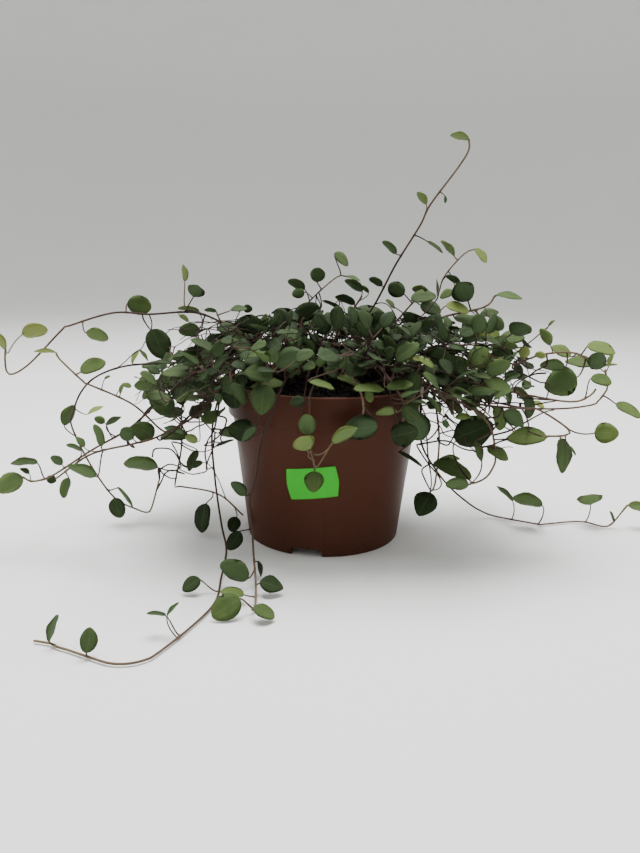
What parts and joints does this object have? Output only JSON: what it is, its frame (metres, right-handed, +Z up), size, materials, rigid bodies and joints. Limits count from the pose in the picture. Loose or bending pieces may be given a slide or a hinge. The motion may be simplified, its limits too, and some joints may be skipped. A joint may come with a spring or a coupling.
{
  "type": "potted wire vine",
  "caption": "Small trailing wire vine with wiry stems and round leaves, rooted in a tapered plastic nursery pot full of soil, with a bare label on the pot.",
  "frame": {"origin": "on the surface that the pot stands on, under the middle of the whole plant's box; the pot's axis is 9 mm towards -X and 35.9 mm towards +Y of it", "axes": "+Z up along the pot's axis; -Y towards the front that the picture shows, where the label is; +X to the picture's right, the longest extent"},
  "size_m": [0.3499, 0.221, 0.2111],
  "materials": {
    "pot": "thin dark red-brown moulded plastic, satin",
    "soil": "damp dark potting mix of peat and bark crumbs",
    "label": "matt bright green paper sticker, left bare",
    "leafy_stem": "living leaves, satin green from dark to yellow green, on thin red-brown woody stems"
  },
  "bodies": {
    "root": {"leafy_stem_crest_left": "leafy_stem", "leafy_stem_crest_middle": "leafy_stem", "leafy_stem_crest_right": "leafy_stem", "leafy_stem_front_far_right": "leafy_stem", "leafy_stem_front_left": "leafy_stem", "leafy_stem_front_right": "leafy_stem", "leafy_stem_front_sprig": "leafy_stem", "leafy_stem_high_left": "leafy_stem", "leafy_stem_left_crest": "leafy_stem", "leafy_stem_left_kink": "leafy_stem", "leafy_stem_left_riser": "leafy_stem", "leafy_stem_left_tuft_lower": "leafy_stem", "leafy_stem_left_tuft_upper": "leafy_stem", "leafy_stem_long_floor": "leafy_stem", "leafy_stem_lower_right": "leafy_stem", "leafy_stem_mound_01": "leafy_stem", "leafy_stem_mound_02": "leafy_stem", "leafy_stem_mound_03": "leafy_stem", "leafy_stem_mound_04": "leafy_stem", "leafy_stem_mound_05": "leafy_stem", "leafy_stem_mound_06": "leafy_stem", "leafy_stem_mound_07": "leafy_stem", "leafy_stem_mound_08": "leafy_stem", "leafy_stem_mound_09": "leafy_stem", "leafy_stem_mound_10": "leafy_stem", "leafy_stem_mound_11": "leafy_stem", "leafy_stem_mound_12": "leafy_stem", "leafy_stem_mound_13": "leafy_stem", "leafy_stem_mound_14": "leafy_stem", "leafy_stem_mound_15": "leafy_stem", "leafy_stem_pot_left": "leafy_stem", "leafy_stem_right_crest": "leafy_stem", "leafy_stem_right_drop": "leafy_stem", "leafy_stem_right_hang": "leafy_stem", "leafy_stem_right_loop": "leafy_stem", "leafy_stem_right_middle_back": "leafy_stem", "leafy_stem_right_middle_front": "leafy_stem", "leafy_stem_right_thin": "leafy_stem", "leafy_stem_right_upper": "leafy_stem", "leafy_stem_second_left": "leafy_stem", "leafy_stem_second_shoot": "leafy_stem", "leafy_stem_tall_shoot": "leafy_stem", "pot": "pot", "price_label": "label", "soil": "soil"}
  },
  "joints": []
}
